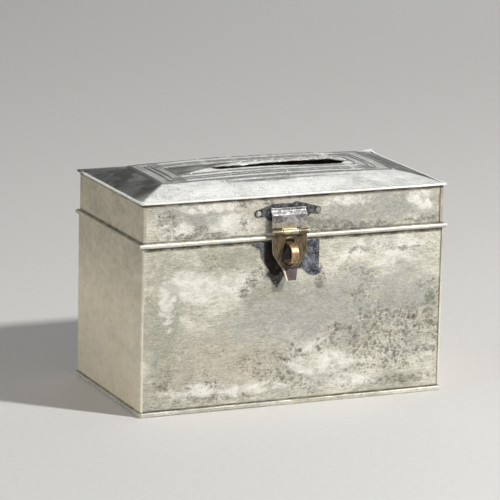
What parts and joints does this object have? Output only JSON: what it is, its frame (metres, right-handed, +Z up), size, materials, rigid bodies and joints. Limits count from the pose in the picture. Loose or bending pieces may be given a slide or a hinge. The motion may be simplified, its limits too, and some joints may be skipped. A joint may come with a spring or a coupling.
{
  "type": "tin money box",
  "caption": "Rectangular tinplate money box with a wire-hinged lid, a coin slot in its ridged raised top, and a hasp over a staple at the front.",
  "frame": {"origin": "middle of the box's underside, at the level it rests on", "axes": "+X to the right along the length as seen from the front, +Y to the back, where the hinge is, +Z up; the hasp faces -Y"},
  "size_m": [0.1516, 0.0909, 0.1045],
  "materials": {
    "front_panel": "aged tinplate, dull and stained",
    "back_panel": "aged tinplate, dull and stained",
    "left_end_panel": "aged tinplate, dull and stained",
    "right_end_panel": "aged tinplate, dull and stained",
    "base_pan": "aged tinplate, dull and stained",
    "mouth_collar": "aged tinplate, dull and stained",
    "left_hinge_strap": "aged tinplate, dull and stained",
    "right_hinge_strap": "aged tinplate, dull and stained",
    "hinge_strap_rivets": "dull tin",
    "staple_plate": "lead-grey, dark and rough",
    "staple": "brown, tarnished",
    "lid_top": "aged tinplate, brighter on the ridges",
    "lid_front_skirt": "aged tinplate, brighter on the ridges",
    "lid_back_skirt": "aged tinplate, brighter on the ridges",
    "lid_left_skirt": "aged tinplate, brighter on the ridges",
    "lid_right_skirt": "aged tinplate, brighter on the ridges",
    "lid_edge_wire": "dull steel wire",
    "hinge_wire": "dull steel wire",
    "hasp_wings": "lead-grey, dark and rough",
    "hasp_wing_rivets": "dull tin",
    "hasp_strap": "lead-grey, dark and rough",
    "hasp_pin": "dull steel wire",
    "hasp": "brown, tarnished"
  },
  "bodies": {
    "box": {"front_panel": "front_panel", "back_panel": "back_panel", "left_end_panel": "left_end_panel", "right_end_panel": "right_end_panel", "base_pan": "base_pan", "mouth_collar": "mouth_collar", "left_hinge_strap": "left_hinge_strap", "right_hinge_strap": "right_hinge_strap", "hinge_strap_rivets": "hinge_strap_rivets", "staple_plate": "staple_plate", "staple": "staple"},
    "lid": {"lid_top": "lid_top", "lid_front_skirt": "lid_front_skirt", "lid_back_skirt": "lid_back_skirt", "lid_left_skirt": "lid_left_skirt", "lid_right_skirt": "lid_right_skirt", "lid_edge_wire": "lid_edge_wire", "hinge_wire": "hinge_wire", "hasp_wings": "hasp_wings", "hasp_wing_rivets": "hasp_wing_rivets", "hasp_strap": "hasp_strap", "hasp_pin": "hasp_pin"},
    "hasp": {"hasp": "hasp"}
  },
  "joints": [
    {"name": "lid_hinge", "type": "hinge", "parent": "box", "child": "lid", "pos_m": [0, 0.04022, 0.07842], "axis": [-1, 0, 0], "range_deg": [0, 165]},
    {"name": "hasp_hinge", "type": "hinge", "parent": "lid", "child": "hasp", "pos_m": [-0.004, -0.04304, 0.0812], "axis": [-1, 0, 0], "range_deg": [-3, 165]}
  ]
}
